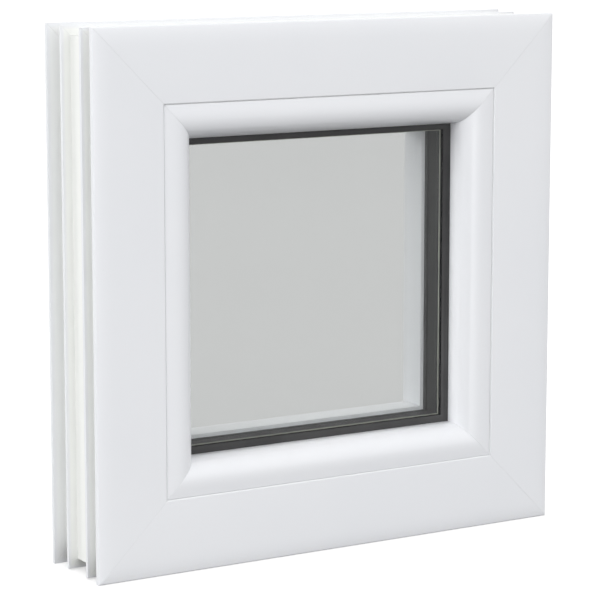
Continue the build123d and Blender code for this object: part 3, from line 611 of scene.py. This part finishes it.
def makePerforationTree():
    tree = bpy.data.node_groups.new("spacerPerforations", "GeometryNodeTree")
    tree.is_modifier = True
    for label, kind in (("Count", "NodeSocketInt"), ("Pitch", "NodeSocketFloat"),
                        ("Radius", "NodeSocketFloat"), ("Reach", "NodeSocketFloat"),
                        ("Row Gap", "NodeSocketFloat"), ("Depth", "NodeSocketFloat"),
                        ("Middle Height", "NodeSocketFloat"), ("Finish", "NodeSocketMaterial")):
        tree.interface.new_socket(label, in_out="INPUT", socket_type=kind)
    tree.interface.new_socket("Geometry", in_out="OUTPUT", socket_type="NodeSocketGeometry")
    given = addNode(tree, "NodeGroupInput").outputs
    result = addNode(tree, "NodeGroupOutput", (1400, 0))
    hole = addNode(tree, "GeometryNodeMeshCircle", fill_type="NGON")
    hole.inputs["Vertices"].default_value = perforations["sides"]
    plug(tree, given["Radius"], hole.inputs["Radius"])
    span = maths(tree, "MULTIPLY", given["Pitch"], maths(tree, "SUBTRACT", given["Count"], 1.0))
    startX = maths(tree, "MULTIPLY", span, -0.5)
    down = maths(tree, "MULTIPLY", given["Reach"], -1.0)
    rows = addNode(tree, "GeometryNodeJoinGeometry")
    for side in (-0.5, 0.5):
        start = addNode(tree, "ShaderNodeCombineXYZ")
        plug(tree, startX, start.inputs["X"])
        across = maths(tree, "MULTIPLY", given["Row Gap"], side)
        plug(tree, maths(tree, "ADD", given["Depth"], across), start.inputs["Y"])
        plug(tree, down, start.inputs["Z"])
        step = addNode(tree, "ShaderNodeCombineXYZ")
        plug(tree, given["Pitch"], step.inputs["X"])
        line = addNode(tree, "GeometryNodeMeshLine")
        plug(tree, given["Count"], line.inputs["Count"])
        plug(tree, start.outputs[0], line.inputs["Start Location"])
        plug(tree, step.outputs[0], line.inputs["Offset"])
        tree.links.new(line.outputs["Mesh"], rows.inputs[0])
    holes = addNode(tree, "GeometryNodeInstanceOnPoints")
    tree.links.new(rows.outputs[0], holes.inputs["Points"])
    tree.links.new(hole.outputs["Mesh"], holes.inputs["Instance"])
    sidesJoined = addNode(tree, "GeometryNodeJoinGeometry")
    lifted = addNode(tree, "ShaderNodeCombineXYZ")
    plug(tree, given["Middle Height"], lifted.inputs["Z"])
    for quarter in range(4):
        turned = addNode(tree, "GeometryNodeTransform")
        turned.inputs["Rotation"].default_value = (0, quarter * math.pi / 2, 0)
        tree.links.new(holes.outputs[0], turned.inputs["Geometry"])
        tree.links.new(lifted.outputs[0], turned.inputs["Translation"])
        tree.links.new(turned.outputs[0], sidesJoined.inputs[0])
    solid = addNode(tree, "GeometryNodeRealizeInstances")
    tree.links.new(sidesJoined.outputs[0], solid.inputs[0])
    painted = addNode(tree, "GeometryNodeSetMaterial")
    tree.links.new(solid.outputs[0], painted.inputs["Geometry"])
    plug(tree, given["Finish"], painted.inputs["Material"])
    tree.links.new(painted.outputs[0], result.inputs[0])
    return tree


def setInput(modifier, label, value):
    for item in modifier.node_group.interface.items_tree:
        if item.item_type == "SOCKET" and item.in_out == "INPUT" and item.name == label:
            modifier[item.identifier] = value


def makePerforations():
    metres = {name: value * millimetre for name, value in perforations.items() if name != "sides"}
    reach = halfWide - metres["spacerInset"]
    run = 2 * (reach - metres["margin"])
    carrier = addObject("perforationCarrier", bpy.data.meshes.new("perforationCarrier"))
    modifier = carrier.modifiers.new("perforations", "NODES")
    modifier.node_group = makePerforationTree()
    setInput(modifier, "Count", int(run / metres["pitch"]))
    setInput(modifier, "Pitch", metres["pitch"])
    setInput(modifier, "Radius", metres["radius"])
    setInput(modifier, "Reach", reach - metres["lift"])
    setInput(modifier, "Row Gap", metres["rowGap"])
    setInput(modifier, "Depth", faceY + metres["depth"])
    setInput(modifier, "Middle Height", middleZ)
    setInput(modifier, "Finish", finishes["hole"])
    carrier.data.update()
    evaluated = carrier.evaluated_get(bpy.context.evaluated_depsgraph_get())
    mesh = bpy.data.meshes.new_from_object(evaluated)
    mesh.name = "spacerPerforations"
    bpy.data.objects.remove(carrier)
    piece = addObject("spacerPerforations", mesh)
    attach(piece, "sash")
    print("perforations:", len(mesh.polygons))


makePerforations()


# floor, light and camera
white = (1, 1, 1, 1)
black = (0, 0, 0, 1)
floorSettings = {
    "size": 30.0,
    "white": (0.60, 0.60, 0.602, 1),
    "patch": (0.59, 0.59, 0.592, 1),
    "roughness": 0.6,
    "pebbleScale": 200.0,
    "cloudScale": 1.0,
    "glow": 0.50,     # burns the floor out to white where it is looked at directly
}


# one where a ray hasn't yet bounced off a dull surface, nought after that
def beforeBounce(tree, path):
    return maths(tree, "LESS_THAN", path["Diffuse Depth"], 0.5)


def makeFloor():
    settings = floorSettings
    half = settings["size"] / 2
    mesh = bpy.data.meshes.new("floor")
    corners = [(-half, -half, 0), (half, -half, 0), (half, half, 0), (-half, half, 0)]
    mesh.from_pydata(corners, [], [(0, 1, 2, 3)])
    floor = addObject("floor", mesh)
    material, tree, shader, coordinates = newMaterial("paleFloor", roughness=settings["roughness"])
    grain = useGroup(tree, mouldedGrain, coordinates,
                     Pebble_Scale=settings["pebbleScale"], Cloud_Scale=settings["cloudScale"])
    skin = mixColours(tree, grain["Cloud"], settings["white"], settings["patch"])
    path = addNode(tree, "ShaderNodeLightPath").outputs
    direct = beforeBounce(tree, path)
    tree.links.new(mixColours(tree, direct, black, skin), shader.inputs["Base Color"])
    shader.inputs["Emission Color"].default_value = white
    glow = maths(tree, "MULTIPLY", path["Is Camera Ray"], settings["glow"])
    tree.links.new(glow, shader.inputs["Emission Strength"])
    mesh.materials.append(material)
    floor.visible_diffuse = False    # the floor throws no light up into the window
    floor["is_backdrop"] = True


softboxAim = (0, 0, 0.2)
softboxes = {
    "leftSoftbox": {"place": (-4.8, -1.3, 1.3), "size": 3.5, "power": 75},
    "frontSoftbox": {"place": (-0.8, -5.0, 0.7), "size": 2.5, "power": 75},
    "roomSoftbox": {"place": (-3.6, 3.6, 1.8), "size": 2.5, "power": 60},
}


def makeSoftbox(name):
    settings = softboxes[name]
    data = bpy.data.lights.new(name, "AREA")
    data.size = settings["size"]
    data.energy = settings["power"]
    light = addObject(name, data)
    light.location = settings["place"]
    towards = Vector(softboxAim) - Vector(settings["place"])
    light.rotation_euler = towards.to_track_quat("-Z", "Y").to_euler()
    light.visible_camera = False


cameraSettings = {
    "place": (-1.0037, -1.6532, 0.4959),
    "turn": 31.553,     # degrees to the right of straight on
    "tilt": 9.217,      # degrees down
    "lens": 152.54,
    "sensor": 36.0,
}


def makeCamera():
    settings = cameraSettings
    data = bpy.data.cameras.new("camera")
    data.sensor_width = settings["sensor"]
    data.lens = settings["lens"]
    camera = addObject("camera", data)
    camera.location = settings["place"]
    camera.rotation_euler = (math.radians(90 - settings["tilt"]), 0, math.radians(-settings["turn"]))
    bpy.context.scene.camera = camera


makeFloor()
for name in softboxes:
    makeSoftbox(name)
makeCamera()


# the studio's walls give most of the light, its ceiling less and its floor little
sky = {
    "below": 0.05,
    "around": 1.25,
    "horizon": (-0.20, 0.0),
    "ceilingDrop": 0.50,
    "ceiling": (0.4, 1.0),
    "backdrop": 1.15,          # looked at directly
    "backdropInGlass": 0.66,   # looked at through the panes
}


def makeWorld():
    world = bpy.data.worlds.new("studio")
    world.use_nodes = True
    tree = world.node_tree
    direction = addNode(tree, "ShaderNodeSeparateXYZ")
    plug(tree, addNode(tree, "ShaderNodeTexCoord").outputs["Generated"], direction.inputs[0])
    height = direction.outputs["Z"]
    walls = remap(tree, height, sky["horizon"], (sky["below"], sky["around"]), smooth=True)
    ceiling = remap(tree, height, sky["ceiling"], (0.0, sky["ceilingDrop"]))
    light = maths(tree, "SUBTRACT", walls, ceiling)
    path = addNode(tree, "ShaderNodeLightPath").outputs
    direct = beforeBounce(tree, path)
    looking = maths(tree, "MAXIMUM", path["Is Camera Ray"], path["Is Transmission Ray"])
    strength = addNode(tree, "ShaderNodeMix", data_type="FLOAT")
    plug(tree, maths(tree, "MULTIPLY", direct, looking), strength.inputs[0])
    plug(tree, light, strength.inputs[2])
    backdrop = remap(tree, path["Is Camera Ray"], (0.0, 1.0), (sky["backdropInGlass"], sky["backdrop"]))
    plug(tree, backdrop, strength.inputs[3])
    background = tree.nodes["Background"]
    background.inputs["Color"].default_value = white
    tree.links.new(strength.outputs[0], background.inputs["Strength"])
    bpy.context.scene.world = world


makeWorld()
bpy.context.scene.view_settings.view_transform = "Standard"
print("studio ready")

low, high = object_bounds()
